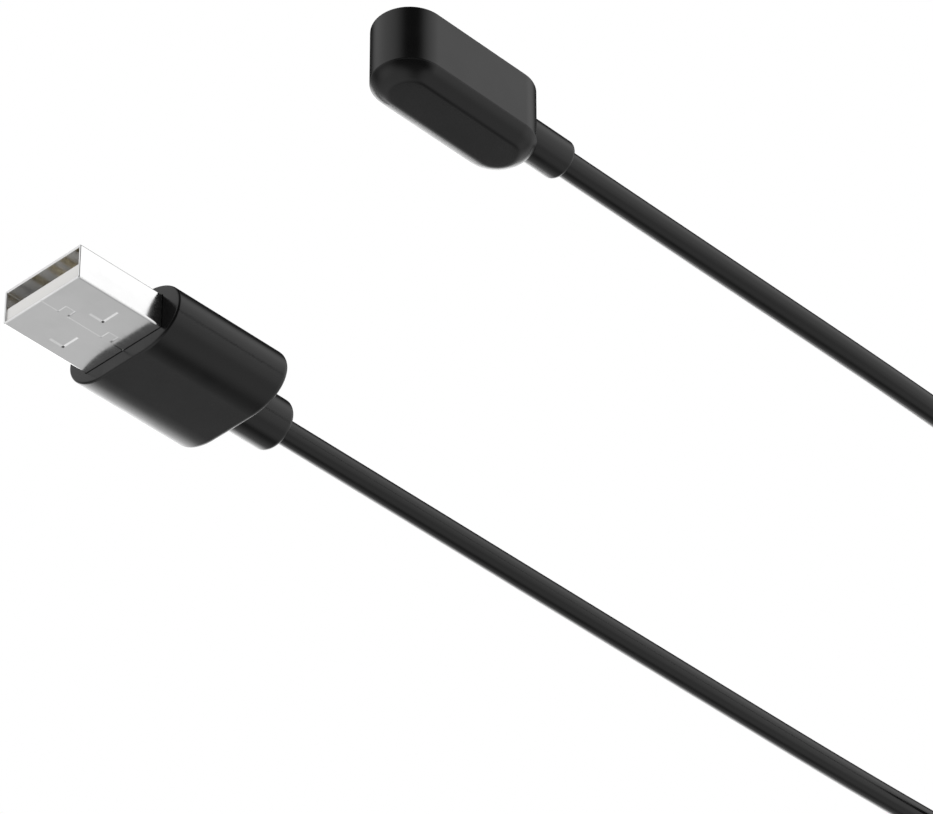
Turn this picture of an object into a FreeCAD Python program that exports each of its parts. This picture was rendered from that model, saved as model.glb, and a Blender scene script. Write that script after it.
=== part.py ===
"""Magnetic charging cord of a fitness tracker band: charging head, cord with coil and tie, USB-A plug.

Frame: origin at the centre of the charging head's back, on the surface that it lies on. +X runs from the
head along the cord, +Y towards the USB plug, +Z up out of the contact face. All lengths are millimetres.
"""
import FreeCAD, Part
import math
import os
from FreeCAD import Vector

X = Vector(1, 0, 0)
Y = Vector(0, 1, 0)
Z = Vector(0, 0, 1)

# Charging head, outside
head_length = 21.2
head_width = 8.2
head_height = 8.6
parting_height = 1.55
flat_inset = 1.8             # from the head's side to the flat of its back
break_inset = 0.445          # where the bevel round the flat gets steeper
break_height = 0.79
back_fillet = 0.8
wall = 1.0
head_rim_fillet = 0.3
cord_axis_height = 4.88

# Contact face: each outline is the head's own, moved inwards
pocket_inset = 1.5
pocket_depth = 0.9
plate_thickness = 0.5
plate_gap = 0.05
ledge_inset = 1.95
ledge_depth = 0.4
pin_pitch = 4.0

# Sprung contact pin
barrel_diameter = 1.9
barrel_flange_diameter = 2.4
barrel_flange_thickness = 0.4
barrel_proud = 0.1
barrel_bore = 1.5
barrel_lip_bore = 1.15
barrel_lip_thickness = 0.3
barrel_floor_thickness = 0.6
tail_diameter = 0.8
tail_length = 0.9
plunger_diameter = 1.05
plunger_foot_diameter = 1.4
plunger_foot_length = 0.95
plunger_proud = 0.8          # above the head's rim, and its travel
stop_gap = 0.05
spring_wire = 0.2
spring_diameter = 1.3
spring_pitch = 0.42

# Inside the head
spigot_height = 1.0
spigot_thickness = 0.6
spigot_gap = 0.05
board_length = 14.0
board_width = 4.6
board_thickness = 0.8
board_bottom = 2.9
board_corner = 1.2
pin_joint_radii = (0.85, 0.5)
pin_joint_height = 0.35
pad_joint_radii = (0.75, 0.45)
pad_joint_height = 0.4
wire_pad_x = 5.4
wire_pad_y = 1.5
post_diameter = 1.4
post_offset = 5.6
post_root = 0.2              # how far a post starts inside the back cover
magnet_length = 3.5
magnet_width = 4.0
magnet_height = 2.6
magnet_corner = 0.2
magnet_offset = 5.2

# Cord and the strain reliefs on it
cord_diameter = 3.0
head_boot_diameter = 4.5
head_boot_end = 16.2
head_boot_start = 9.9        # inside the head's rounded end, which is cut out of it
boot_neck_diameter = 3.8
boot_neck_length = 2.4
boot_flange_diameter = 4.2
boot_flange_start = 8.0
boot_flange_thickness = 0.6
boot_end_fillet = 0.5
plug_relief_diameter = 6.3
plug_relief_length = 6.4
plug_relief_fillet = 0.7
relief_anchor_diameter = 4.6
relief_anchor_length = 2.6
relief_flange_diameter = 5.7
relief_flange_length = 0.8
conductor_diameter = 0.8
conductor_spread = 0.65

# USB-A plug
plug_y = 53.75
plug_z = 4.15
mouth_x = -8.1
shell_width = 12.0
shell_height = 4.5
shell_wall = 0.3
shell_length = 18.75
shell_corner = 0.25
shell_inner_corner = 0.1
window_length = 2.1
window_width = 2.5
window_offset = 3.15
window_from_mouth = 6.25
latch_pocket_depth = 0.18
seam_width = 0.1
seam_depth = 0.08
seam_tab_width = 1.25
seam_tab_length = 1.4
seam_tabs_from_mouth = (2.5, 8.8)
seam_length = 12.0
insulator_recess = 0.2
insulator_top = 2.05         # above the shell's outer bottom
insulator_length = 16.5
insulator_corner = 0.15
insulator_gap = 0.03
contact_offsets = (-3.5, -1.0, 1.0, 3.5)
contact_width = 1.0
contact_thickness = 0.25
contact_proud = 0.08
contact_setback = (0.8, 1.7, 1.7, 0.8)
contact_tail_length = 2.6
contact_nose_fillet = 0.12
tail_joint_x = 10.75
tail_joint_radii = (0.48, 0.3)
tail_joint_height = 0.5
body_front_x = 4.0
body_length = 16.8
body_width = 17.5
body_height = 8.3
body_round = 5.65            # length of each half-elliptical side
body_front_fillet = 0.3
body_rear_fillet = 0.8
core_start_x = 7.0
core_end_x = 18.0
core_inset = 0.9             # inside the body's outline
core_chamber_end_x = 14.6
core_chamber_width = 10.4
core_chamber_height = 3.4
jacket_end_x = 16.0

# Coil of the put-away length, and its tie
coil_x = 168.0
coil_y = 30.6
coil_radius = 17.0
coil_pitch = 3.1             # from one turn to the turn beside it
coil_layer = 3.0             # from one layer to the layer on it
coil_slack = 0.1             # between the turns and the coil's outer shape
coil_base = 0.6              # the coil rests on the tie
coil_edge_fillet = 1.4
tie_width = 7.0
tie_thickness = 0.5
tie_gap = 0.05
tie_corner = 1.2

# Worked out from the dimensions above
plate_bottom = head_height - pocket_depth
barrel_top = plate_bottom + plate_thickness + barrel_proud
board_top = board_bottom + board_thickness
bore_floor = board_top + barrel_floor_thickness
lip_bottom = barrel_top - barrel_lip_thickness
foot_top = lip_bottom - stop_gap
foot_bottom = foot_top - plunger_foot_length
boot_neck_start = boot_flange_start + boot_flange_thickness
shell_bottom = -shell_height / 2             # from the plug's axis, as the next line
contact_top = shell_bottom + insulator_top + contact_proud
shell_end_x = mouth_x + shell_length
body_end_x = body_front_x + body_length
floor_z = cord_diameter / 2
coil_half_width = coil_pitch + cord_diameter / 2 + coil_slack
coil_height = 2 * coil_layer + cord_diameter + coil_slack
coil_outer_turn = coil_radius + coil_pitch
coil_last_turn = coil_radius + coil_pitch / 2
coil_bottom_turn_z = coil_base + cord_diameter / 2
coil_top_turn_z = coil_bottom_turn_z + 2 * coil_layer

# The cord's route where it isn't coiled, each from inside its relief to the coil
head_route = [
    (8.2, 0.0, cord_axis_height),
    (30.0, 0.0, cord_axis_height),
    (74.0, -3.0, floor_z),
    (110.0, -1.6, floor_z),
    (138.0, 6.6, 3.4),
    (153.0, 11.7, coil_top_turn_z),
    (coil_x, coil_y - coil_last_turn, coil_top_turn_z),
]
plug_route = [
    (jacket_end_x, plug_y, plug_z),
    (40.0, plug_y, plug_z),
    (84.0, 52.0, 2.2),
    (128.0, 51.3, floor_z),
    (155.0, coil_y + coil_outer_turn, coil_bottom_turn_z),
    (coil_x, coil_y + coil_outer_turn, coil_bottom_turn_z),
]

# Each conductor's route from the jacket's end to its joint; Y is the distance from the cord's axis
head_wire_route = [
    (8.2, conductor_spread, cord_axis_height),
    (7.75, conductor_spread, cord_axis_height),
    (7.2, 0.9, 4.65),
    (wire_pad_x, wire_pad_y, board_top + pad_joint_height + conductor_diameter / 2),
]
usb_wire_route = [
    (jacket_end_x, conductor_spread, 0.0),
    (13.8, conductor_spread, 0.0),
    (12.9, 1.5, 0.15),
    (12.2, 2.8, contact_top + conductor_diameter / 2 + 0.1),
    (11.2, 3.4, contact_top + conductor_diameter / 2),
]


def stadium(centre, long_side, short_side):
    """The level face of a stadium outline: two straight sides along X joined by half circles."""
    radius = short_side / 2
    half = X * (long_side / 2 - radius)
    side = Y * radius
    tip = X * (long_side / 2)
    right_end = Part.Arc(centre + half - side, centre + tip, centre + half + side)
    top = Part.LineSegment(centre + half + side, centre - half + side)
    left_end = Part.Arc(centre - half + side, centre - tip, centre - half - side)
    bottom = Part.LineSegment(centre - half - side, centre + half - side)
    edges = [curve.toShape() for curve in (right_end, top, left_end, bottom)]
    return Part.Face(Part.Wire(edges))


def cylinder(diameter, length, start, direction):
    return Part.makeCylinder(diameter / 2, length, start, direction)


def box(x0, x1, y0, y1, z0, z1):
    return Part.makeBox(x1 - x0, y1 - y0, z1 - z0, Vector(x0, y0, z0))


def fillet_where(shape, radius, wanted):
    """The shape with every edge that passes the test rounded."""
    return shape.makeFillet(radius, [edge for edge in shape.Edges if wanted(edge)])


def all_at(axis, value):
    """A test for edges that lie wholly at one value of an axis (0, 1 or 2)."""
    def test(edge):
        bounds = edge.BoundBox
        low = (bounds.XMin, bounds.YMin, bounds.ZMin)[axis]
        high = (bounds.XMax, bounds.YMax, bounds.ZMax)[axis]
        return abs(low - value) < 0.01 and abs(high - value) < 0.01
    return test


def as_long_as(length):
    """A test for straight edges of one length."""
    def test(edge):
        return abs(edge.Length - length) < 1e-6
    return test


def rounded_bar(width, height, length, corner, start):
    """A bar along X with rounded long edges, centred on the start point in Y and Z."""
    corner_point = start - Y * (width / 2) - Z * (height / 2)
    bar = Part.makeBox(length, width, height, corner_point)
    return fillet_where(bar, corner, as_long_as(length))


def tube_path(points):
    """Straight runs joined by tangent arcs, as a wire, with the arcs' radii."""
    points = [Vector(*point) for point in points]
    edges = []
    radii = []
    here = points[0]
    for before, corner, after in zip(points, points[1:], points[2:]):
        incoming = (corner - before).normalize()
        outgoing = (after - corner).normalize()
        half_turn = incoming.getAngle(outgoing) / 2
        reach = 0.45 * min((corner - before).Length, (after - corner).Length)
        radius = reach / math.tan(half_turn)
        start = corner - incoming * reach
        end = corner + outgoing * reach
        inward = (outgoing - incoming).normalize()
        middle = corner + inward * (radius / math.cos(half_turn) - radius)
        edges.append(Part.LineSegment(here, start).toShape())
        edges.append(Part.Arc(start, middle, end).toShape())
        radii.append(radius)
        here = end
    edges.append(Part.LineSegment(here, points[-1]).toShape())
    return Part.Wire(edges), radii


def tube(points, diameter):
    path, radii = tube_path(points)
    direction = (Vector(*points[1]) - Vector(*points[0])).normalize()
    ring = Part.Wire([Part.Circle(Vector(*points[0]), direction, diameter / 2).toShape()])
    solid = Part.Solid(path.makePipeShell([ring], True, True))
    return solid, path, radii


def cord_tube(name, points):
    """A stretch of cord; prints what its bends and volume come to."""
    solid, path, radii = tube(points, cord_diameter)
    section = math.pi * cord_diameter**2 / 4
    print(name, "length", round(path.Length, 1), "radii", [round(radius) for radius in radii],
          "volume over section times length", round(solid.Volume / (section * path.Length), 4))
    return solid


# Charging head

def head_outline(inset, z):
    return stadium(Vector(0, 0, z), head_length - 2 * inset, head_width - 2 * inset)


def head_back_cover():
    outlines = [head_outline(flat_inset, 0), head_outline(break_inset, break_height),
                head_outline(0, parting_height)]
    dish = Part.makeLoft([outline.OuterWire for outline in outlines], True, True)
    dish = fillet_where(dish, back_fillet, all_at(2, 0))
    spigot_inset = wall + spigot_gap
    spigot = head_outline(spigot_inset, parting_height).extrude(Z * spigot_height)
    hollow = head_outline(spigot_inset + spigot_thickness, parting_height).extrude(Z * spigot_height)
    cover = dish.fuse(spigot.cut(hollow))
    for side in (-1, 1):
        foot = Vector(side * post_offset, 0, parting_height - post_root)
        cover = cover.fuse(cylinder(post_diameter, board_bottom - foot.z, foot, Z))
    return cover.removeSplitter()


def head_housing():
    ledge_bottom = plate_bottom - ledge_depth
    shell = head_outline(0, parting_height).extrude(Z * (head_height - parting_height))
    shell = fillet_where(shell, head_rim_fillet, all_at(2, head_height))
    cavity = head_outline(wall, parting_height).extrude(Z * (ledge_bottom - parting_height))
    opening = head_outline(ledge_inset, ledge_bottom).extrude(Z * ledge_depth)
    pocket = head_outline(pocket_inset, plate_bottom).extrude(Z * pocket_depth)
    neck_start = Vector(boot_neck_start, 0, cord_axis_height)
    neck_hole = cylinder(boot_neck_diameter, boot_neck_length, neck_start, X)
    return shell.cut(cavity).cut(opening).cut(pocket).cut(neck_hole)


def contact_plate():
    plate = head_outline(pocket_inset + plate_gap, plate_bottom).extrude(Z * plate_thickness)
    for side in (-1, 1):
        hole_start = Vector(side * pin_pitch / 2, 0, plate_bottom)
        plate = plate.cut(cylinder(barrel_diameter, plate_thickness, hole_start, Z))
    return plate


def pogo_barrel(x):
    def section(diameter, low, high):
        return cylinder(diameter, high - low, Vector(x, 0, low), Z)
    outside = section(barrel_diameter, board_top, barrel_top)
    flange = section(barrel_flange_diameter, plate_bottom - barrel_flange_thickness, plate_bottom)
    tail = section(tail_diameter, board_top - tail_length, board_top)
    bore = section(barrel_bore, bore_floor, lip_bottom)
    lip_bore = section(barrel_lip_bore, lip_bottom, barrel_top)
    return outside.fuse(flange).fuse(tail).cut(bore).cut(lip_bore)


def pogo_plunger(x):
    tip_radius = plunger_diameter / 2
    tip_centre = Vector(x, 0, head_height + plunger_proud - tip_radius)
    foot = cylinder(plunger_foot_diameter, plunger_foot_length, Vector(x, 0, foot_bottom), Z)
    shaft = cylinder(plunger_diameter, tip_centre.z - foot_top, Vector(x, 0, foot_top), Z)
    tip = Part.makeSphere(tip_radius, tip_centre, Z, 0, 90)
    return foot.fuse(shaft).fuse(tip).removeSplitter()


def pogo_spring(x):
    coil_mean_radius = (spring_diameter - spring_wire) / 2
    end_gap = spring_wire / 2 + 0.02
    helix = Part.makeHelix(spring_pitch, foot_bottom - bore_floor - 2 * end_gap, coil_mean_radius)
    start = Vector(coil_mean_radius, 0, 0)
    tangent = Vector(0, 2 * math.pi * coil_mean_radius, spring_pitch)
    ring = Part.Wire([Part.Circle(start, tangent, spring_wire / 2).toShape()])
    spring = Part.Solid(Part.Wire(helix).makePipeShell([ring], True, True))
    spring.translate(Vector(x, 0, bore_floor + end_gap))
    return spring


def magnet(side):
    centre = side * magnet_offset
    block = box(centre - magnet_length / 2, centre + magnet_length / 2,
                -magnet_width / 2, magnet_width / 2, plate_bottom - magnet_height, plate_bottom)
    return block.makeFillet(magnet_corner, block.Edges)


def head_board():
    board = box(-board_length / 2, board_length / 2, -board_width / 2, board_width / 2,
                board_bottom, board_top)
    board = fillet_where(board, board_corner, as_long_as(board_thickness))
    for side in (-1, 1):
        hole_start = Vector(side * pin_pitch / 2, 0, board_bottom)
        board = board.cut(cylinder(tail_diameter, board_thickness, hole_start, Z))
    return board


def head_solder_joints():
    """Under the board round each pin's tail, and on it at each conductor's pad."""
    cones = []
    for side in (-1, 1):
        under = Vector(side * pin_pitch / 2, 0, board_bottom)
        cone = Part.makeCone(*pin_joint_radii, pin_joint_height, under, -Z)
        cones.append(cone.cut(cylinder(tail_diameter, tail_length, under, -Z)))
        pad = Vector(wire_pad_x, side * wire_pad_y, board_top)
        cones.append(Part.makeCone(*pad_joint_radii, pad_joint_height, pad, Z))
    return Part.makeCompound(cones)


def head_wire(side):
    """A conductor from the jacket's end down to its pad on the board."""
    route = [(x, side * y, z) for x, y, z in head_wire_route]
    return tube(route, conductor_diameter)[0]


def head_boot():
    def section(diameter, start, end):
        return cylinder(diameter, end - start, Vector(start, 0, cord_axis_height), X)
    sleeve = section(head_boot_diameter, head_boot_start, head_boot_end)
    sleeve = fillet_where(sleeve, boot_end_fillet, all_at(0, head_boot_end))
    sleeve = sleeve.cut(head_outline(0, 0).extrude(Z * head_height))
    neck = section(boot_neck_diameter, boot_neck_start, boot_neck_start + boot_neck_length)
    flange = section(boot_flange_diameter, boot_flange_start, boot_neck_start)
    bore = section(cord_diameter, boot_flange_start, head_boot_end)
    return sleeve.fuse(neck).fuse(flange).cut(bore).removeSplitter()


# USB plug

def plug_point(x, y=0.0, z=0.0):
    """A point given from the plug's axis."""
    return Vector(x, plug_y + y, plug_z + z)


def body_block(inset, start_x, length):
    """A bar along X with the body's outline, or one inset from it: flat faces between half ellipses."""
    half_straight = body_width / 2 - body_round
    half_height = body_height / 2 - inset
    edges = []
    for end in (1, -1):
        middle = plug_point(start_x, end * half_straight)
        tip = middle + Y * (end * (body_round - inset))
        top = middle + Z * (end * half_height)
        next_top = plug_point(start_x, -end * half_straight, end * half_height)
        edges.append(Part.Arc(Part.Ellipse(tip, top, middle), -math.pi / 2, math.pi / 2).toShape())
        edges.append(Part.LineSegment(top, next_top).toShape())
    return Part.Face(Part.Wire(edges)).extrude(X * length)


def seam_cutters():
    """The dovetail seam along the shell's bottom: straight stretches and square tabs towards -Y."""
    path = [(0.0, 0.0)]
    for start in seam_tabs_from_mouth:
        end = start + seam_tab_length
        path += [(start, 0.0), (start, -seam_tab_width), (end, -seam_tab_width), (end, 0.0)]
    path.append((seam_length, 0.0))
    half = seam_width / 2
    cutters = []
    for (x0, y0), (x1, y1) in zip(path, path[1:]):
        low = plug_point(mouth_x + min(x0, x1) - half, min(y0, y1) - half, shell_bottom - seam_depth)
        size_x = abs(x1 - x0) + seam_width
        size_y = abs(y1 - y0) + seam_width
        cutters.append(Part.makeBox(size_x, size_y, 2 * seam_depth, low))
    return cutters


def window_box(side, z, depth):
    """A cutter for one latch window, upwards from a height above the plug's axis."""
    x = mouth_x + window_from_mouth - window_length / 2
    low = plug_point(x, side * window_offset - window_width / 2, z)
    return Part.makeBox(window_length, window_width, depth, low)


def usb_shell():
    outside = rounded_bar(shell_width, shell_height, shell_length, shell_corner, plug_point(mouth_x))
    inside = rounded_bar(shell_width - 2 * shell_wall, shell_height - 2 * shell_wall, shell_length,
                         shell_inner_corner, plug_point(mouth_x))
    shell = outside.cut(inside)
    for side in (-1, 1):
        shell = shell.cut(window_box(side, -shell_bottom - 2 * shell_wall, 3 * shell_wall))
        shell = shell.cut(window_box(side, shell_bottom - latch_pocket_depth, 2 * latch_pocket_depth))
    for cutter in seam_cutters():
        shell = shell.cut(cutter)
    return shell


def usb_contact(index):
    """A flat blade on the insulator, with a solder tail behind it."""
    y = contact_offsets[index]
    start = mouth_x + contact_setback[index]
    length = mouth_x + insulator_recess + insulator_length + contact_tail_length - start
    low = plug_point(start, y - contact_width / 2, contact_top - contact_thickness)
    blade = Part.makeBox(length, contact_width, contact_thickness, low)
    at_front = all_at(0, start)
    at_top = all_at(2, plug_z + contact_top)
    return fillet_where(blade, contact_nose_fillet, lambda edge: at_front(edge) and at_top(edge))


def usb_insulator(contacts):
    width = shell_width - 2 * (shell_wall + insulator_gap)
    height = insulator_top - shell_wall - insulator_gap
    middle_z = shell_bottom + insulator_top - insulator_gap / 2 - height / 2
    start = plug_point(mouth_x + insulator_recess, 0, middle_z)
    block = rounded_bar(width, height, insulator_length, insulator_corner, start)
    for contact in contacts:
        block = block.cut(contact)
    return block


def usb_core():
    """The hard inner moulding that grips the shell, the joints and the cord's end."""
    core = body_block(core_inset, core_start_x, core_end_x - core_start_x)
    shell_space = rounded_bar(shell_width, shell_height, shell_end_x - core_start_x, shell_corner,
                              plug_point(core_start_x))
    chamber_low = plug_point(shell_end_x, -core_chamber_width / 2, -core_chamber_height / 2)
    chamber = Part.makeBox(core_chamber_end_x - shell_end_x, core_chamber_width, core_chamber_height,
                           chamber_low)
    core = core.cut(shell_space).cut(chamber)
    core = core.cut(cylinder(cord_diameter, core_end_x - jacket_end_x, plug_point(jacket_end_x), X))
    for side in (-1, 1):
        hole_start = plug_point(core_chamber_end_x, side * conductor_spread)
        core = core.cut(cylinder(conductor_diameter, jacket_end_x - core_chamber_end_x, hole_start, X))
    return core


def usb_overmould(relief):
    body = body_block(0, body_front_x, body_length)
    body = fillet_where(body, body_rear_fillet, all_at(0, body_end_x))
    body = fillet_where(body, body_front_fillet, all_at(0, body_front_x))
    core_space = body_block(core_inset, core_start_x, core_end_x - core_start_x)
    shell_space = rounded_bar(shell_width, shell_height, core_start_x - body_front_x, shell_corner,
                              plug_point(body_front_x))
    return body.cut(core_space).cut(shell_space).cut(relief).cut(cord_space(body_end_x))


def cord_space(end_x):
    """The space that the cord takes, from the core's end on."""
    return cylinder(cord_diameter, end_x - core_end_x, plug_point(core_end_x), X)


def usb_strain_relief():
    """The sleeve behind the body, with an anchor inside it."""
    sleeve_end = body_end_x + plug_relief_length
    sleeve = cylinder(plug_relief_diameter, plug_relief_length, plug_point(body_end_x), X)
    sleeve = fillet_where(sleeve, plug_relief_fillet, all_at(0, sleeve_end))
    anchor_start = plug_point(body_end_x - relief_anchor_length)
    anchor = cylinder(relief_anchor_diameter, relief_anchor_length, anchor_start, X)
    flange = cylinder(relief_flange_diameter, relief_flange_length, anchor_start, X)
    return sleeve.fuse(anchor).fuse(flange).cut(cord_space(sleeve_end)).removeSplitter()


def usb_wire(side):
    """A conductor from the jacket's end to the tail of an outer contact."""
    route = [(x, plug_y + side * y, plug_z + z) for x, y, z in usb_wire_route]
    return tube(route, conductor_diameter)[0]


def usb_solder_joints(wires):
    blobs = []
    for side, wire in zip((-1, 1), wires):
        foot = plug_point(tail_joint_x, side * contact_offsets[-1], contact_top)
        blobs.append(Part.makeCone(*tail_joint_radii, tail_joint_height, foot, Z).cut(wire))
    return Part.makeCompound(blobs)


# Coil and tie

def cord_coil():
    """The outer shape of the coil, as one closed ring."""
    centre = Vector(coil_x, coil_y, coil_base)
    outer = cylinder(2 * (coil_radius + coil_half_width), coil_height, centre, Z)
    inner = cylinder(2 * (coil_radius - coil_half_width), coil_height, centre, Z)
    at_bottom = all_at(2, coil_base)
    at_top = all_at(2, coil_base + coil_height)
    return fillet_where(outer.cut(inner), coil_edge_fillet, lambda edge: at_bottom(edge) or at_top(edge))


def cord_tie():
    """The band round the bundle, on the coil's far side."""
    inner_radius = coil_radius - coil_half_width
    bulge = tie_width**2 / 8 / inner_radius      # how far the coil's inside curves in under the band
    x0 = coil_x + inner_radius - tie_gap - bulge
    x1 = coil_x + coil_radius + coil_half_width + tie_gap
    z0 = coil_base - tie_gap
    z1 = coil_base + coil_height + tie_gap
    inside = rounded_sleeve(x0, x1, z0, z1, tie_corner)
    outside = rounded_sleeve(x0 - tie_thickness, x1 + tie_thickness, z0 - tie_thickness,
                             z1 + tie_thickness, tie_corner + tie_thickness)
    return outside.cut(inside)


def rounded_sleeve(x0, x1, z0, z1, corner):
    """A block as wide as the tie, with its edges along Y rounded."""
    low = Vector(x0, coil_y - tie_width / 2, z0)
    block = Part.makeBox(x1 - x0, tie_width, z1 - z0, low)
    return fillet_where(block, corner, as_long_as(tie_width))


def sub_parts():
    """Every sub-part, by name."""
    parts = {
        "head_back_cover": head_back_cover(),
        "head_housing": head_housing(),
        "contact_plate": contact_plate(),
        "head_board": head_board(),
        "head_solder_joints": head_solder_joints(),
        "head_wire_red": head_wire(-1),
        "head_wire_black": head_wire(1),
        "head_boot": head_boot(),
        "cord_head_side": cord_tube("head side", head_route),
        "cord_plug_side": cord_tube("plug side", plug_route),
        "cord_coil": cord_coil(),
        "cord_tie": cord_tie(),
        "usb_shell": usb_shell(),
        "usb_core": usb_core(),
        "usb_strain_relief": usb_strain_relief(),
        "usb_wire_red": usb_wire(-1),
        "usb_wire_black": usb_wire(1),
    }
    for letter, side in (("a", -1), ("b", 1)):
        x = side * pin_pitch / 2
        parts["pogo_barrel_" + letter] = pogo_barrel(x)
        parts["pogo_plunger_" + letter] = pogo_plunger(x)
        parts["pogo_spring_" + letter] = pogo_spring(x)
        parts["magnet_" + letter] = magnet(side)
    contacts = [usb_contact(index) for index in range(len(contact_offsets))]
    for number, contact in enumerate(contacts, 1):
        parts[f"usb_contact_{number}"] = contact
    parts["usb_insulator"] = usb_insulator(contacts)
    parts["usb_overmould"] = usb_overmould(parts["usb_strain_relief"])
    parts["usb_solder_joints"] = usb_solder_joints([parts["usb_wire_red"], parts["usb_wire_black"]])
    return parts


os.makedirs("parts", exist_ok=True)
for name, shape in sub_parts().items():
    shape.exportStep(f"parts/{name}.step")
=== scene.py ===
"""Looks of a fitness tracker band's magnetic charging cord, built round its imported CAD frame, in metres."""
import math

import bmesh
import bpy
from mathutils import Matrix, Vector


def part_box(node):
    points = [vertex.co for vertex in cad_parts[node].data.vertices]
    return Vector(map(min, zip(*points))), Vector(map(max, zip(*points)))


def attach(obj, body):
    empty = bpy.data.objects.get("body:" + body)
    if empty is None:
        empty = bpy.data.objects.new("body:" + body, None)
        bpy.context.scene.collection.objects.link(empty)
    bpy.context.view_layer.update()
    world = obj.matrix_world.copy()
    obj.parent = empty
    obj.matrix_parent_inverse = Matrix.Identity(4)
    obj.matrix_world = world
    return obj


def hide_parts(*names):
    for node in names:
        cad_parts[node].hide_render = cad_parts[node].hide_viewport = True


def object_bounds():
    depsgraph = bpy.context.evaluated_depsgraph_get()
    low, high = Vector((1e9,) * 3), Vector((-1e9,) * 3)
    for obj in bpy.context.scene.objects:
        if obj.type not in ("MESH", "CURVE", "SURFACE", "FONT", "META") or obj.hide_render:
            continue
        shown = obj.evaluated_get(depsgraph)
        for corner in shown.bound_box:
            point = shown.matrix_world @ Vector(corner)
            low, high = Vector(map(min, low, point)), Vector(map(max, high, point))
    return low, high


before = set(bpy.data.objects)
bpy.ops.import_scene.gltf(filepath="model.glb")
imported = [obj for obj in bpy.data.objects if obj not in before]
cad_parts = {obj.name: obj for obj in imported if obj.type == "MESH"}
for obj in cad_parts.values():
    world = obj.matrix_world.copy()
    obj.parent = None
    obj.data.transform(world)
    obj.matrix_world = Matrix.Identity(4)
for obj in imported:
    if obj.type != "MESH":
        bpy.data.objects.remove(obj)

cad_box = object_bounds()

MM = 0.001
BODY = "charger"

# Camera: below the object, looking up along the cord
CAMERA_PLACE = (-0.32346, -0.31357, -0.37943)
CAMERA_PITCH = 37.2866
CAMERA_HEADING = 43.942      # from +X towards +Y
CAMERA_LENS = 221.0
SENSOR_WIDTH = 36.0

# Cord: its route where it isn't coiled, as in the CAD
CORD_DIAMETER = 3.0 * MM
HEAD_ROUTE = [
    (0.0082, 0.0, 0.00488),
    (0.030, 0.0, 0.00488),
    (0.074, -0.0030, 0.0015),
    (0.110, -0.0016, 0.0015),
    (0.138, 0.0066, 0.0034),
    (0.153, 0.0117, 0.0081),
    (0.168, 0.01205, 0.0081),
]
PLUG_ROUTE = [
    (0.016, 0.05375, 0.00415),
    (0.040, 0.05375, 0.00415),
    (0.084, 0.0520, 0.0022),
    (0.128, 0.0513, 0.0015),
    (0.155, 0.0507, 0.0021),
    (0.168, 0.0507, 0.0021),
]
COIL_TURNS = 6.5
POINTS_PER_TURN = 20
START_TURN = 0.25            # the coil starts this much of a turn before +X
START_INWARD = 0.5           # turns in from the bundle's outer side
TOP_LAYER = 2
COIL_PITCH = 3.1 * MM
COIL_LAYER = 3.0 * MM
COIL_SLACK = 0.1 * MM
SHIFT_TURNS = 0.16           # how long a change of place takes
# Where the cord changes place in the bundle: turns from the head, and turns moved inwards
INWARD_SHIFTS = [(0.6, -0.5), (1.68, 1), (2.68, 1), (4.5, -1), (5.5, -1)]
LAYER_DROPS = [0.77, 3.59]   # where it goes down a layer
CORD_ROUND_DETAIL = 10
CORD_LENGTH_DETAIL = 12

# Mesh detail
ARC_STEPS = 48
FILLET_STEPS = 6
ROUND_STEPS = 96
TAIL_STEPS = 8
SHARP_ABOVE = 30             # degrees between faces
HEAD_SHARP_ABOVE = 50
BODY_SHARP_ABOVE = 40

# Charging head
FLAT_INSET = 1.8 * MM
FLAT_FILLET = 1.4 * MM
BREAK_INSET = 0.445 * MM     # where the bevel round the flat gets steeper
BREAK_HEIGHT = 0.79 * MM
BREAK_FILLET = 3.4 * MM
PARTING_GAP = 0.03 * MM
PARTING_FILLET = 0.06 * MM
RIM_FILLET = 0.3 * MM
POCKET_INSET = 1.5 * MM
POCKET_FILLET = 0.12 * MM
LEDGE_INSET = 1.95 * MM
LEDGE_DEPTH = 0.4 * MM
POCKET_DEPTH = 0.9 * MM
HEAD_WALL = 1.0 * MM
SPIGOT_INSET = 1.05 * MM
SPIGOT_THICKNESS = 0.6 * MM
NECK_DIAMETER = 3.8 * MM
NECK_START = 8.6 * MM
NECK_LENGTH = 2.4 * MM
FLANGE_RADIUS = 2.1 * MM
BOOT_DIAMETER = 4.5 * MM
BOOT_FILLET = 0.5 * MM

# USB plug
SHELL_WALL = 0.3 * MM
SHELL_CORNER = 0.25 * MM
SHELL_INNER_CORNER = 0.1 * MM
LIP_FILLET = 0.13 * MM
WINDOW_LENGTH = 2.1 * MM
WINDOW_WIDTH = 2.5 * MM
WINDOW_OFFSET = 3.15 * MM
WINDOW_FROM_MOUTH = 6.25 * MM
LATCH_DEPTH = 0.18 * MM
SEAM_WIDTH = 0.16 * MM
SEAM_DEPTH = 0.06 * MM
TAB_SLIT_WIDTH = 0.26 * MM   # the seam is open at the end of each tab
TAB_SLIT_DEPTH = 0.25 * MM
SEAM_TAB_WIDTH = 1.25 * MM
SEAM_TAB_LENGTH = 1.4 * MM
SEAM_TABS_FROM_MOUTH = (2.5 * MM, 8.8 * MM)
SEAM_LENGTH = 12.0 * MM
BODY_ROUND = 5.65 * MM       # length of each half-elliptical side
BODY_FRONT_FILLET = 0.3 * MM
BODY_REAR_FILLET = 0.8 * MM
SHELL_GAP = 0.09 * MM
CORE_START = 7.0 * MM
CORE_END = 18.0 * MM
CORE_INSET = 0.9 * MM
ANCHOR_DIAMETER = 4.6 * MM
RELIEF_DIAMETER = 6.3 * MM
RELIEF_FILLET = 0.7 * MM

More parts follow.
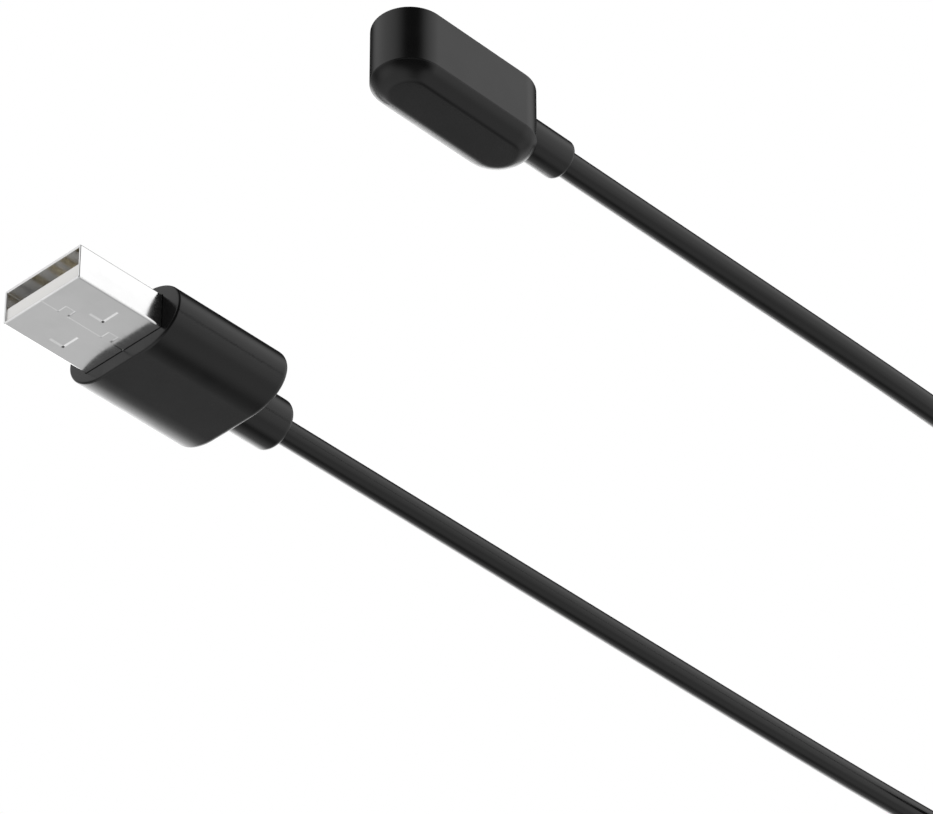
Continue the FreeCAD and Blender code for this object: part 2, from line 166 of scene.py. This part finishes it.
# Tie
STRAP_THICKNESS = 0.45 * MM
STRAP_EDGE = 0.12 * MM
STRAP_CORNER = 1.45 * MM
STRAP_TAIL_ROUND = 1.6 * MM
STRAP_LAP_GAP = 0.05 * MM
STRAP_TAIL_REACH = 2 * MM    # past the bundle's middle

# Materials
PLASTIC_IOR = 1.46
PATCH_SCALE = 220            # patches of different gloss on plastic
PATCH_RANGE = (0.3, 0.7)
SCRATCH_STRETCHES = [(60, 900, 500), (700, 80, 650)]
SCRATCH_SCALE = 3.0
SCRATCH_RANGE = (0.66, 0.70)
EDGE_REACH = 0.15 * MM       # how far from an edge plastic is rubbed
EDGE_ALIKE = (0.97, 0.80)    # how alike the soft and true normals are on a flat, and on an edge
STAIN_SCALE = 180            # stain on metal
STAIN_RANGE = (0.35, 0.65)
# Painted shade in metal's inner corners: how far it reaches, the grey the colour goes to, and the occlusion
# range it fades over
PAINTED_SHADE_REACH = 0.3 * MM      # how far from a corner the painted shade on metal reaches
PAINTED_SHADE_TONE = 0.8
PAINTED_SHADE_RANGE = (0.05, 0.55)
THREAD_SCALE = 420.0
THREAD_WAVINESS = 1.2
THREAD_HEIGHT = 25e-6
LOOP_SCALE = 3600.0
LOOP_HEIGHT = 60e-6
FIBRE_SCALE = 900.0
FIBRE_GAP = 0.04
TRACE_STRETCH = (900, 90, 900)
TRACE_RANGE = (0.5, 0.53)
TRACE_HEIGHT = 8e-6

# Floor and light
FLOOR_SIZE = 6.0
FLOOR_TONE = 0.86
FLOOR_TONE_SPREAD = 0.01
FLOOR_GRAIN = 40
FLOOR_ROUGHNESS = 0.9
KEY_PLACE = (0.05, -0.12, 0.55)
KEY_SIZE = 0.5
KEY_POWER = 1.6
SOFT_LEVEL = 0.75            # of the even light that falls on matt surfaces
DARK_LEVEL = 0.03            # of what gloss reflects between the lights
# What gloss reflects: direction, brightness, and the angles from it within which it is full and gone
SOFT_BOXES = [
    ((0.60, -0.75, 0.28), 1.06, 18, 58),
    ((-0.70, 0.42, 0.58), 0.85, 6, 52),
    ((0.55, -0.40, -0.73), 0.50, 12, 38),
    ((-0.30, 0.40, -0.87), 0.60, 15, 50),
    ((-0.80, 0.45, -0.30), 0.40, 10, 40),
    ((0.95, 0.10, -0.30), 0.30, 8, 35),
    ((0.30, 0.30, -0.90), 0.12, 20, 85),
]
BACKDROP = [
    ((0.57, 0.78, 0.25), 1.50, 14, 38),
    ((0.57, 0.78, 0.25), 0.47, 35, 75),
]
BACKDROP_TOP = (0.42, 0.60)  # sine of the elevation at which the bright backdrop fades out


# Camera and cord

def make_camera():
    """A long lens below the object."""
    data = bpy.data.cameras.new("camera")
    data.sensor_width = SENSOR_WIDTH
    data.lens = CAMERA_LENS
    camera = bpy.data.objects.new("camera", data)
    camera.location = CAMERA_PLACE
    camera.rotation_euler = (math.radians(90 + CAMERA_PITCH), 0, math.radians(CAMERA_HEADING - 90))
    bpy.context.scene.collection.objects.link(camera)
    bpy.context.scene.camera = camera


def eased(turns, start):
    """0 before the start of a change of place, 1 after its end, smooth between."""
    share = min(max((turns - start) / SHIFT_TURNS, 0), 1)
    return share * share * (3 - 2 * share)


def coil_points():
    """The turns from the head's side, on top of the bundle, to the plug's side, at its outside below."""
    low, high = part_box("cord_coil")
    centre = (low + high) / 2
    outer_turn = (high.x - low.x) / 2 - CORD_DIAMETER / 2 - COIL_SLACK
    spline_pull = math.cos(math.pi / POINTS_PER_TURN)
    points = []
    for number in range(1, round(COIL_TURNS * POINTS_PER_TURN)):
        turns = number / POINTS_PER_TURN
        inward = START_INWARD + sum(amount * eased(turns, start) for start, amount in INWARD_SHIFTS)
        layer = TOP_LAYER - sum(eased(turns, start) for start in LAYER_DROPS)
        radius = (outer_turn - COIL_PITCH * inward) / spline_pull
        angle = 2 * math.pi * (turns - START_TURN)
        x = centre.x + radius * math.cos(angle)
        y = centre.y + radius * math.sin(angle)
        points.append((x, y, low.z + CORD_DIAMETER / 2 + COIL_LAYER * layer))
    return points


def make_cord():
    """One spline from the head through the coil to the plug."""
    data = bpy.data.curves.new("charging_cord", "CURVE")
    data.dimensions = "3D"
    data.bevel_depth = CORD_DIAMETER / 2
    data.bevel_resolution = CORD_ROUND_DETAIL
    data.resolution_u = CORD_LENGTH_DETAIL
    data.use_fill_caps = True
    points = HEAD_ROUTE + coil_points() + PLUG_ROUTE[::-1]
    spline = data.splines.new("NURBS")
    spline.points.add(len(points) - 1)
    for point, place in zip(spline.points, points):
        point.co = (*place, 1)
    spline.order_u = 3
    spline.use_endpoint_u = True
    cord = bpy.data.objects.new("charging_cord", data)
    bpy.context.scene.collection.objects.link(cord)
    return cord


make_camera()
cord = make_cord()


# Materials

def add(tree, kind, inputs=None, output=0, **settings):
    """A new shader node's output; each input is a value or another node's output."""
    made = tree.nodes.new("ShaderNode" + kind)
    for name, value in settings.items():
        setattr(made, name, value)
    for name, value in (inputs or {}).items():
        join(tree, value, made.inputs[name])
    return made.outputs[output]


def join(tree, value, socket):
    if isinstance(value, bpy.types.NodeSocket):
        tree.links.new(value, socket)
    else:
        socket.default_value = value


def stretched(tree, scale):
    """Object coordinates, scaled along each axis."""
    place = add(tree, "TexCoord", output="Object")
    return add(tree, "Mapping", {"Vector": place, "Scale": scale})


def noise(tree, scale, detail=4.0, place=None):
    place = place or add(tree, "TexCoord", output="Object")
    return add(tree, "TexNoise", {"Vector": place, "Scale": scale, "Detail": detail})


def ranged(tree, value, low, high, to_low, to_high):
    """The value moved from one range to another, smoothly and without going past its ends."""
    inputs = {"Value": value, "From Min": low, "From Max": high, "To Min": to_low, "To Max": to_high}
    return add(tree, "MapRange", inputs, interpolation_type="SMOOTHSTEP")


def blended(tree, share, first, second):
    inputs = {"Factor": share, 6: first, 7: second}
    return add(tree, "Mix", inputs, output=2, data_type="RGBA")


def bumped(tree, height, distance, strength=1.0, under=None):
    inputs = {"Height": height, "Distance": distance, "Strength": strength}
    if under:
        inputs["Normal"] = under
    return add(tree, "Bump", inputs)


def edge_share(tree, radius):
    """1 along the surface's edges, 0 on its flats."""
    soft_normal = add(tree, "Bevel", {"Radius": radius}, samples=4)
    true_normal = add(tree, "NewGeometry", output="Normal")
    alike = add(tree, "VectorMath", {0: soft_normal, 1: true_normal}, output="Value",
                operation="DOT_PRODUCT")
    return ranged(tree, alike, *EDGE_ALIKE, 0.0, 1.0)


def grey(level):
    return (level, level, level, 1)


def shader_of(name):
    material = bpy.data.materials.new(name)
    material.use_nodes = True
    return material, material.node_tree, material.node_tree.nodes["Principled BSDF"]


def moulded(name, dark, light, gloss, grain, grain_depth, worn=0.0, scratch_depth=0.0):
    """Moulded plastic or rubber: two shades, patchy gloss, fine grain, hairline scratches, rubbed edges.
    gloss is the roughness's lowest and highest value."""
    material, tree, shader = shader_of(name)
    patches = noise(tree, PATCH_SCALE, 5)
    colour = blended(tree, patches, dark, light)
    roughness = ranged(tree, patches, *PATCH_RANGE, *gloss)
    height = noise(tree, grain, 3)
    normal = bumped(tree, height, grain_depth)
    if scratch_depth:
        for turned in SCRATCH_STRETCHES:
            streaks = noise(tree, SCRATCH_SCALE, 2, stretched(tree, turned))
            scratches = ranged(tree, streaks, *SCRATCH_RANGE, 0.0, 1.0)
            normal = bumped(tree, scratches, scratch_depth, under=normal)
    if worn:
        edges = edge_share(tree, EDGE_REACH)
        colour = blended(tree, edges, colour, grey(worn))
    join(tree, colour, shader.inputs["Base Color"])
    join(tree, roughness, shader.inputs["Roughness"])
    join(tree, normal, shader.inputs["Normal"])
    shader.inputs["IOR"].default_value = PLASTIC_IOR
    return material


def metal(name, dark, light, gloss, scratch_scale, scratch_depth):
    """Plated metal: slight stain, polishing scratches, and painted shade that blends the colour towards a
    fixed grey in the inner corners.
    """
    material, tree, shader = shader_of(name)
    shader.inputs["Metallic"].default_value = 1.0
    stain = noise(tree, STAIN_SCALE, 6)
    colour = blended(tree, ranged(tree, stain, *STAIN_RANGE, 0.0, 1.0), dark, light)
    # Painted shade: where ambient occlusion finds a nearby corner, the colour is blended towards a fixed grey
    openness = add(tree, "AmbientOcclusion", {"Distance": PAINTED_SHADE_REACH}, output="AO", samples=8)
    unshaded_share = ranged(tree, openness, *PAINTED_SHADE_RANGE, 0.0, 1.0)
    colour = blended(tree, unshaded_share, grey(PAINTED_SHADE_TONE), colour)
    streaks = noise(tree, 1.0, 3, stretched(tree, scratch_scale))
    roughness = ranged(tree, streaks, *PATCH_RANGE, *gloss)
    join(tree, colour, shader.inputs["Base Color"])
    join(tree, roughness, shader.inputs["Roughness"])
    join(tree, bumped(tree, streaks, scratch_depth), shader.inputs["Normal"])
    return material


def woven(name):
    """Soft loop fabric over a plain weave."""
    material, tree, shader = shader_of(name)
    shader.inputs["Sheen Weight"].default_value = 0.35
    shader.inputs["Sheen Roughness"].default_value = 0.5
    height = None
    for direction in ("X", "Y", "Z"):
        inputs = {"Vector": stretched(tree, (1, 1, 1)), "Scale": THREAD_SCALE,
                  "Distortion": THREAD_WAVINESS, "Detail": 2.0}
        threads = add(tree, "TexWave", inputs, output="Fac", bands_direction=direction)
        height = threads if height is None else add(tree, "Math", {0: height, 1: threads}, operation="ADD")
    loops = add(tree, "TexVoronoi", {"Vector": stretched(tree, (1, 1, 1)), "Scale": LOOP_SCALE})
    normal = bumped(tree, loops, LOOP_HEIGHT, 0.8, bumped(tree, height, THREAD_HEIGHT, 0.7))
    colour = blended(tree, loops, (0.008, 0.008, 0.009, 1), (0.035, 0.035, 0.038, 1))
    join(tree, colour, shader.inputs["Base Color"])
    join(tree, ranged(tree, loops, 0.0, 1.0, 0.75, 0.95), shader.inputs["Roughness"])
    join(tree, normal, shader.inputs["Normal"])
    return material


def board_material():
    """Solder mask over the fibres of a circuit board, with traces just showing under it."""
    material, tree, shader = shader_of("circuit board")
    inputs = {"Vector": stretched(tree, (1, 1, 1)), "Scale": FIBRE_SCALE, "Mortar Size": FIBRE_GAP}
    fibres = add(tree, "TexBrick", inputs, output="Fac")
    traces = ranged(tree, noise(tree, 1.0, 0, stretched(tree, TRACE_STRETCH)), *TRACE_RANGE, 0.0, 1.0)
    colour = blended(tree, traces, (0.010, 0.09, 0.035, 1), (0.03, 0.17, 0.05, 1))
    join(tree, colour, shader.inputs["Base Color"])
    join(tree, ranged(tree, fibres, 0.0, 1.0, 0.22, 0.34), shader.inputs["Roughness"])
    join(tree, bumped(tree, traces, TRACE_HEIGHT), shader.inputs["Normal"])
    return material


finishes = {
    "gloss_black_housing": moulded("black gloss plastic", grey(0.0022), grey(0.0034), (0.19, 0.26), 2600,
                                   0.8e-6, worn=0.010, scratch_depth=0.8e-6),
    "contact_plate_black": moulded("black matt plastic", grey(0.008), grey(0.013), (0.42, 0.55), 5200, 9e-6),
    "relief_black": moulded("black strain relief", grey(0.0026), grey(0.0040), (0.16, 0.24), 3400, 1.4e-6,
                            worn=0.009),
    "cord_jacket": moulded("black cord jacket", grey(0.0024), grey(0.0040), (0.15, 0.23), 3800, 1.6e-6),
    "insulator_white": moulded("white plastic", (0.88, 0.87, 0.85, 1), (0.93, 0.92, 0.90, 1), (0.28, 0.4),
                               2400, 2e-6),
    "core_natural": moulded("natural plastic", (0.55, 0.52, 0.44, 1), (0.66, 0.63, 0.55, 1), (0.4, 0.55),
                            1800, 6e-6),
    "wire_red": moulded("red wire", (0.42, 0.012, 0.010, 1), (0.52, 0.020, 0.014, 1), (0.3, 0.42), 3000,
                        3e-6),
    "wire_black": moulded("black wire", grey(0.008), grey(0.014), (0.32, 0.45), 3000, 3e-6),
    "shell_steel": metal("polished steel", grey(0.92), grey(0.97), (0.15, 0.21), (160, 2600, 2600), 0.5e-6),
    "gold_contact": metal("gold plate", (0.66, 0.56, 0.36, 1), (0.76, 0.66, 0.45, 1), (0.20, 0.30),
                          (1500, 1500, 5000), 1.5e-6),
    "spring_steel": metal("spring steel", grey(0.48), grey(0.60), (0.22, 0.34), (3000, 3000, 3000), 1e-6),
    "magnet_nickel": metal("nickel plate", grey(0.62), grey(0.74), (0.18, 0.3), (900, 900, 900), 3e-6),
    "solder": metal("tin solder", grey(0.50), grey(0.72), (0.25, 0.45), (1600, 1600, 1600), 8e-6),
    "tie_fabric": woven("hook and loop fabric"),
    "board_green": board_material(),
}
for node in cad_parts.values():
    for index, slot in enumerate(node.data.materials.keys()):
        node.data.materials[index] = finishes[slot]


# Mesh tools

def rounded(corners, closed=False):
    """A flat path through corners, each (x, y, fillet radius)."""
    path = []
    last = len(corners) - 1
    for index, (x, y, radius) in enumerate(corners):
        here = Vector((x, y))
        if radius == 0 or (not closed and index in (0, last)):
            path.append(here)
            continue
        before = (Vector(corners[index - 1][:2]) - here).normalized()
        after = (Vector(corners[(index + 1) % len(corners)][:2]) - here).normalized()
        half = before.angle(after) / 2
        centre = here + (before + after).normalized() * (radius / math.sin(half))
        start = here + before * (radius / math.tan(half)) - centre
        end = here + after * (radius / math.tan(half)) - centre
        turn = math.atan2(start.cross(end), start.dot(end))
        for step in range(FILLET_STEPS + 1):
            path.append(centre + Matrix.Rotation(turn * step / FILLET_STEPS, 2) @ start)
    return path


def oval(straight, long_radius, short_radius):
    """Points of an oval outline: two half ellipses and the straight sides between them."""
    points = []
    for side in (1, -1):
        for step in range(ARC_STEPS + 1):
            angle = math.pi * (step / ARC_STEPS - 0.5)
            along = straight / 2 + long_radius * math.cos(angle)
            points.append(Vector((side * along, side * short_radius * math.sin(angle))))
    return points


def circle(radius):
    turn = 2 * math.pi / ROUND_STEPS
    return [Vector((radius * math.cos(turn * step), radius * math.sin(turn * step)))
            for step in range(ROUND_STEPS)]


def rectangle(width, height, corner):
    half_width = width / 2
    half_height = height / 2
    return rounded([(half_width, -half_height, corner), (half_width, half_height, corner),
                    (-half_width, half_height, corner), (-half_width, -half_height, corner)], True)


def on_end(outline, x, middle):
    """The outline stood up across the X axis at x."""
    return [Vector((x, middle.y + point.x, middle.z + point.y)) for point in outline]


def laid(outline, z, middle):
    """The outline laid flat at height z."""
    return [Vector((middle.x + point.x, middle.y + point.y, z)) for point in outline]


def lofted(name, rings, ring_shaped=False):
    """A closed skin through rings of points. It has flat ends, or its last ring joins its first."""
    mesh = bmesh.new()
    loops = [[mesh.verts.new(point) for point in ring] for ring in rings]
    pairs = list(zip(loops, loops[1:]))
    if ring_shaped:
        pairs.append((loops[-1], loops[0]))
    else:
        mesh.faces.new(loops[0])
        mesh.faces.new(loops[-1])
    for first, second in pairs:
        for index in range(len(first)):
            after = (index + 1) % len(first)
            mesh.faces.new((first[index], first[after], second[after], second[index]))
    bmesh.ops.recalc_face_normals(mesh, faces=mesh.faces)
    if mesh.calc_volume(signed=True) < 0:
        bmesh.ops.reverse_faces(mesh, faces=mesh.faces)
    data = bpy.data.meshes.new(name)
    mesh.to_mesh(data)
    mesh.free()
    piece = bpy.data.objects.new(name, data)
    bpy.context.scene.collection.objects.link(piece)
    return piece


def bar(outline, start, end, middle):
    """A cutter along X."""
    return lofted("cutter", [on_end(outline, start, middle), on_end(outline, end, middle)])


def cut(piece, cutters):
    """Takes the cutters' space out of the piece, for good."""
    for cutter in cutters:
        modifier = piece.modifiers.new("cut", "BOOLEAN")
        modifier.object = cutter
        modifier.solver = "EXACT"
    evaluated = piece.evaluated_get(bpy.context.evaluated_depsgraph_get())
    data = bpy.data.meshes.new_from_object(evaluated)
    piece.modifiers.clear()
    piece.data = data
    for cutter in cutters:
        bpy.data.objects.remove(cutter)


def dressed(piece, slot, replaced, sharp_above=SHARP_ABOVE):
    """Smooth shading, the slot's finish, and a place in the frame."""
    for polygon in piece.data.polygons:
        polygon.use_smooth = True
    piece.data.set_sharp_from_angle(angle=math.radians(sharp_above))
    modifier = piece.modifiers.new("flat faces", "WEIGHTED_NORMAL")
    modifier.keep_sharp = True
    piece.data.materials.clear()
    piece.data.materials.append(finishes[slot])
    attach(piece, BODY)
    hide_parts(*replaced)
    return piece


# Charging head

housing_low, housing_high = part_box("head_housing")
head_centre = Vector((0, 0, 0))
head_half_width = housing_high.y
head_straight = 2 * (housing_high.x - housing_high.y)
cord_axis = Vector(HEAD_ROUTE[0])


def head_rings(profile):
    """One ring round the head for each (half width, height) of the profile."""
    return [laid(oval(head_straight, half_width, half_width), height, head_centre)
            for half_width, height in profile]


def make_back_cover():
    """The bevelled cover, and the hollow spigot that stands in the housing."""
    top = housing_low.z - PARTING_GAP / 2
    spigot_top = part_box("head_back_cover")[1].z
    flat_half_width = head_half_width - FLAT_INSET
    spigot = head_half_width - SPIGOT_INSET
    hollow = spigot - SPIGOT_THICKNESS
    profile = rounded([
        (flat_half_width / 2, 0, 0),
        (flat_half_width, 0, FLAT_FILLET),
        (head_half_width - BREAK_INSET, BREAK_HEIGHT, BREAK_FILLET),
        (head_half_width, top, PARTING_FILLET),
        (spigot, top, 0),
        (spigot, spigot_top, PARTING_FILLET),
        (hollow, spigot_top, PARTING_FILLET),
        (hollow, top, 0),
    ])
    return dressed(lofted("back_cover", head_rings(profile)), "gloss_black_housing", ["head_back_cover"],
                   HEAD_SHARP_ABOVE)


def make_head_housing():
    """The wall, with a stepped pocket for the contact plate and a hole for the boot's neck."""
    bottom = housing_low.z + PARTING_GAP / 2
    top = housing_high.z
    pocket = head_half_width - POCKET_INSET
    ledge = head_half_width - LEDGE_INSET
    inside = head_half_width - HEAD_WALL
    pocket_floor = top - POCKET_DEPTH
    profile = rounded([
        (head_half_width, bottom, PARTING_FILLET),
        (head_half_width, top, RIM_FILLET),
        (pocket, top, POCKET_FILLET),
        (pocket, pocket_floor, 0),
        (ledge, pocket_floor, 0),
        (ledge, pocket_floor - LEDGE_DEPTH, 0),
        (inside, pocket_floor - LEDGE_DEPTH, 0),
        (inside, bottom, 0),
    ], True)
    housing = lofted("head_shell", head_rings(profile), ring_shaped=True)
    cut(housing, [bar(circle(NECK_DIAMETER / 2), NECK_START, NECK_START + 2 * NECK_LENGTH, cord_axis)])
    return dressed(housing, "gloss_black_housing", ["head_housing"], HEAD_SHARP_ABOVE)


def make_head_boot():
    """The sleeve, cut to the head's round end, and the neck and flange that hold it in the wall."""
    low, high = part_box("head_boot")
    radius = BOOT_DIAMETER / 2
    neck = NECK_DIAMETER / 2
    bore = CORD_DIAMETER / 2
    outline = rounded([
        (radius, 0, 0),
        (radius, high.x, BOOT_FILLET),
        (bore, high.x, 0),
        (bore, low.x, 0),
        (FLANGE_RADIUS, low.x, 0),
        (FLANGE_RADIUS, NECK_START, 0),
        (neck, NECK_START, 0),
        (neck, 0, 0),
    ])
    rings = []
    for size, x in outline:
        ring = on_end(circle(size), x, cord_axis)
        if x == 0:
            for point in ring:
                point.x = head_straight / 2 + math.sqrt(head_half_width**2 - point.y**2)
        rings.append(ring)
    return dressed(lofted("head_cord_boot", rings, ring_shaped=True), "relief_black", ["head_boot"])


# USB plug

shell_low, shell_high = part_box("usb_shell")
plug_middle = (shell_low + shell_high) / 2
shell_width = shell_high.y - shell_low.y
shell_height = shell_high.z - shell_low.z
body_low, body_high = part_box("usb_overmould")
body_half_height = (body_high.z - body_low.z) / 2
body_straight = body_high.y - body_low.y - 2 * BODY_ROUND


def shell_outline(inset):
    """The shell's outline moved in. Its corners keep a radius, so that the mesh can't cross itself."""
    corner = max(SHELL_CORNER - inset, SHELL_INNER_CORNER)
    return rectangle(shell_width - 2 * inset, shell_height - 2 * inset, corner)


def block(low, high):
    """A box-shaped cutter between two corners."""
    size = high - low
    outline = [Vector((0, 0)), Vector((size.y, 0)), Vector((size.y, size.z)), Vector((0, size.z))]
    return lofted("cutter", [on_end(outline, x, low) for x in (low.x, high.x)])


def window_cutter(side, z, depth):
    """Removes one latch window, from height z to depth above it."""
    x = shell_low.x + WINDOW_FROM_MOUTH - WINDOW_LENGTH / 2
    y = plug_middle.y + side * WINDOW_OFFSET - WINDOW_WIDTH / 2
    low = Vector((x, y, z))
    return block(low, low + Vector((WINDOW_LENGTH, WINDOW_WIDTH, depth)))


def seam_cutters():
    """The dovetail seam along the shell's bottom, and the slits at the ends of its tabs."""
    path = [(0.0, 0.0)]
    for start in SEAM_TABS_FROM_MOUTH:
        end = start + SEAM_TAB_LENGTH
        path += [(start, 0.0), (start, -SEAM_TAB_WIDTH), (end, -SEAM_TAB_WIDTH), (end, 0.0)]
    path.append((SEAM_LENGTH, 0.0))
    margin = Vector((SEAM_WIDTH / 2, SEAM_WIDTH / 2, SEAM_DEPTH))
    cutters = []
    for (x0, y0), (x1, y1) in zip(path, path[1:]):
        origin = Vector((shell_low.x, plug_middle.y, shell_low.z))
        low = origin + Vector((min(x0, x1), min(y0, y1), 0))
        high = origin + Vector((max(x0, x1), max(y0, y1), 0))
        cutters.append(block(low - margin, high + margin))
    slit_margin = Vector((TAB_SLIT_WIDTH / 2, 0, TAB_SLIT_DEPTH))
    for start in SEAM_TABS_FROM_MOUTH:
        end = Vector((shell_low.x + start + SEAM_TAB_LENGTH, plug_middle.y, shell_low.z))
        cutters.append(block(end - Vector((0, SEAM_TAB_WIDTH, 0)) - slit_margin, end + slit_margin))
    return cutters


def make_shell():
    """The folded steel tube, with windows above, latch recesses below and its seam."""
    profile = rounded([
        (0, shell_low.x, LIP_FILLET),
        (SHELL_WALL, shell_low.x, LIP_FILLET),
        (SHELL_WALL, shell_high.x, 0),
        (0, shell_high.x, 0),
    ], True)
    rings = [on_end(shell_outline(inset), x, plug_middle) for inset, x in profile]
    shell = lofted("plug_shell", rings, ring_shaped=True)
    cutters = seam_cutters()
    for side in (-1, 1):
        cutters.append(window_cutter(side, shell_high.z - 2 * SHELL_WALL, 3 * SHELL_WALL))
        cutters.append(window_cutter(side, shell_low.z - LATCH_DEPTH, 2 * LATCH_DEPTH))
    cut(shell, cutters)
    return dressed(shell, "shell_steel", ["usb_shell"])


def body_outline(inset):
    return oval(body_straight, BODY_ROUND - inset, body_half_height - inset)


def make_body():
    """The grip, hollowed for the shell, the inner moulding and the strain relief's anchor."""
    middle_inset = body_half_height / 2
    profile = rounded([
        (middle_inset, body_low.x, 0),
        (0, body_low.x, BODY_FRONT_FILLET),
        (0, body_high.x, BODY_REAR_FILLET),
        (middle_inset, body_high.x, 0),
    ])
    body = lofted("plug_body", [on_end(body_outline(inset), x, plug_middle) for inset, x in profile])
    cut(body, [
        bar(shell_outline(-SHELL_GAP), body_low.x - MM, CORE_START + MM, plug_middle),
        bar(body_outline(CORE_INSET), CORE_START, CORE_END, plug_middle),
        bar(circle(ANCHOR_DIAMETER / 2), CORE_END - MM, body_high.x + MM, plug_middle),
    ])
    return dressed(body, "gloss_black_housing", ["usb_overmould"], BODY_SHARP_ABOVE)


def make_strain_relief():
    """The sleeve behind the body, and its anchor inside it."""
    low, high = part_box("usb_strain_relief")
    radius = RELIEF_DIAMETER / 2
    anchor = ANCHOR_DIAMETER / 2
    bore = CORD_DIAMETER / 2
    profile = rounded([
        (radius, body_high.x, 0),
        (radius, high.x, RELIEF_FILLET),
        (bore, high.x, 0),
        (bore, low.x, 0),
        (anchor, low.x, 0),
        (anchor, body_high.x, 0),
    ], True)
    rings = [on_end(circle(size), x, plug_middle) for size, x in profile]
    return dressed(lofted("plug_strain_relief", rings, ring_shaped=True), "relief_black",
                   ["usb_strain_relief"])


# Tie

def make_tie():
    """A strap once round the bundle from its outer side, then over its own start to the top."""
    low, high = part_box("cord_tie")
    half = STRAP_THICKNESS / 2
    lap = STRAP_THICKNESS + STRAP_LAP_GAP
    x0, x1 = low.x + half, high.x - half
    z0, z1 = low.z + half, high.z - half
    middle_x = (x0 + x1) / 2
    path = rounded([
        (x1, (z0 + z1) / 2, 0),
        (x1, z1, STRAP_CORNER),
        (x0, z1, STRAP_CORNER),
        (x0, z0, STRAP_CORNER),
        (x1 + lap, z0, STRAP_CORNER + lap),
        (x1 + lap, z1 + lap, STRAP_CORNER + lap),
        (middle_x - STRAP_TAIL_REACH, z1 + lap, 0),
    ])
    tail = path[-1]
    path.pop()
    path += [tail + Vector((STRAP_TAIL_ROUND * (1 - step / TAIL_STEPS), 0))
             for step in range(TAIL_STEPS + 1)]
    width = high.y - low.y
    middle_y = (low.y + high.y) / 2
    rings = []
    for index, here in enumerate(path):
        before = path[max(index - 1, 0)]
        after = path[min(index + 1, len(path) - 1)]
        along = (after - before).normalized()
        across = Vector((-along.y, along.x))
        short = max(STRAP_TAIL_ROUND - (here - tail).length, 0) if index > len(path) / 2 else 0
        trim = STRAP_TAIL_ROUND - math.sqrt(max(STRAP_TAIL_ROUND**2 - short**2, 0))
        section = rectangle(width - 2 * trim, STRAP_THICKNESS, STRAP_EDGE)
        ring = []
        for point in section:
            spot = here + across * point.y
            ring.append(Vector((spot.x, middle_y + point.x, spot.y)))
        rings.append(ring)
    return dressed(lofted("coil_tie", rings), "tie_fabric", ["cord_tie"])


make_back_cover()
make_head_housing()
make_head_boot()
plug_shell = make_shell()
plug_body = make_body()
strain_relief = make_strain_relief()
tie = make_tie()

cord.data.materials.append(finishes["cord_jacket"])
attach(cord, BODY)
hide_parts("cord_head_side", "cord_coil", "cord_plug_side")


# Floor and light

def make_floor():
    """A pale floor, which is clear from below."""
    mesh = bmesh.new()
    half = FLOOR_SIZE / 2
    mesh.faces.new([mesh.verts.new((x * half, y * half, 0)) for x, y in ((-1, -1), (1, -1), (1, 1), (-1, 1))])
    data = bpy.data.meshes.new("floor")
    mesh.to_mesh(data)
    mesh.free()
    floor = bpy.data.objects.new("floor", data)
    bpy.context.scene.collection.objects.link(floor)
    material, tree, shader = shader_of("floor_paper")
    grain = noise(tree, FLOOR_GRAIN)
    colour = blended(tree, grain, grey(FLOOR_TONE - FLOOR_TONE_SPREAD), grey(FLOOR_TONE + FLOOR_TONE_SPREAD))
    join(tree, colour, shader.inputs["Base Color"])
    shader.inputs["Roughness"].default_value = FLOOR_ROUGHNESS
    below = add(tree, "NewGeometry", output="Backfacing")
    clear = add(tree, "BsdfTransparent")
    mixed = add(tree, "MixShader", {0: below, 1: shader.outputs[0], 2: clear})
    join(tree, mixed, tree.nodes["Material Output"].inputs["Surface"])
    data.materials.append(material)
    for kind in ("diffuse", "glossy", "transmission", "shadow"):
        setattr(floor, "visible_" + kind, False)


def lobe(tree, direction, source, brightness, full, gone):
    """The brightness of one soft box in a direction."""
    towards = add(tree, "VectorMath", {0: direction, 1: source}, output="Value", operation="DOT_PRODUCT")
    return ranged(tree, towards, math.cos(math.radians(gone)), math.cos(math.radians(full)), 0.0, brightness)


def summed(tree, values):
    total = values[0]
    for value in values[1:]:
        total = add(tree, "Math", {0: total, 1: value}, operation="ADD")
    return total


def make_world():
    """White behind the object, an even light on matt surfaces, and soft boxes for gloss to reflect."""
    world = bpy.data.worlds.new("studio")
    world.use_nodes = True
    bpy.context.scene.world = world
    tree = world.node_tree
    direction = add(tree, "TexCoord", output="Generated")
    height = add(tree, "SeparateXYZ", {0: direction}, output="Z")
    backdrop = summed(tree, [lobe(tree, direction, *light) for light in BACKDROP])
    backdrop_share = ranged(tree, height, *BACKDROP_TOP, 1.0, 0.0)
    backdrop = add(tree, "Math", {0: backdrop, 1: backdrop_share}, operation="MULTIPLY")
    boxes = [lobe(tree, direction, *light) for light in SOFT_BOXES]
    reflected = add(tree, "Math", {0: summed(tree, [backdrop, *boxes]), 1: DARK_LEVEL}, operation="ADD")
    for_gloss = add(tree, "LightPath", output="Is Glossy Ray")
    for_camera = add(tree, "LightPath", output="Is Camera Ray")
    inputs = {"Factor": for_gloss, 2: SOFT_LEVEL, 3: reflected}
    level = add(tree, "Mix", inputs, data_type="FLOAT")
    level = add(tree, "Mix", {"Factor": for_camera, 2: level, 3: 1.0}, data_type="FLOAT")
    join(tree, level, tree.nodes["Background"].inputs["Strength"])
    tree.nodes["Background"].inputs["Color"].default_value = (1, 1, 1, 1)


def make_key_light():
    """A soft light from above, which gloss doesn't show."""
    data = bpy.data.lights.new("key", "AREA")
    data.size = KEY_SIZE
    data.energy = KEY_POWER
    light = bpy.data.objects.new("key", data)
    light.location = KEY_PLACE
    towards = (cad_box[0] + cad_box[1]) / 2 - Vector(KEY_PLACE)
    light.rotation_euler = towards.to_track_quat("-Z", "Y").to_euler()
    light.visible_glossy = False
    bpy.context.scene.collection.objects.link(light)


make_floor()
make_world()
make_key_light()
bpy.context.scene.view_settings.view_transform = "Standard"
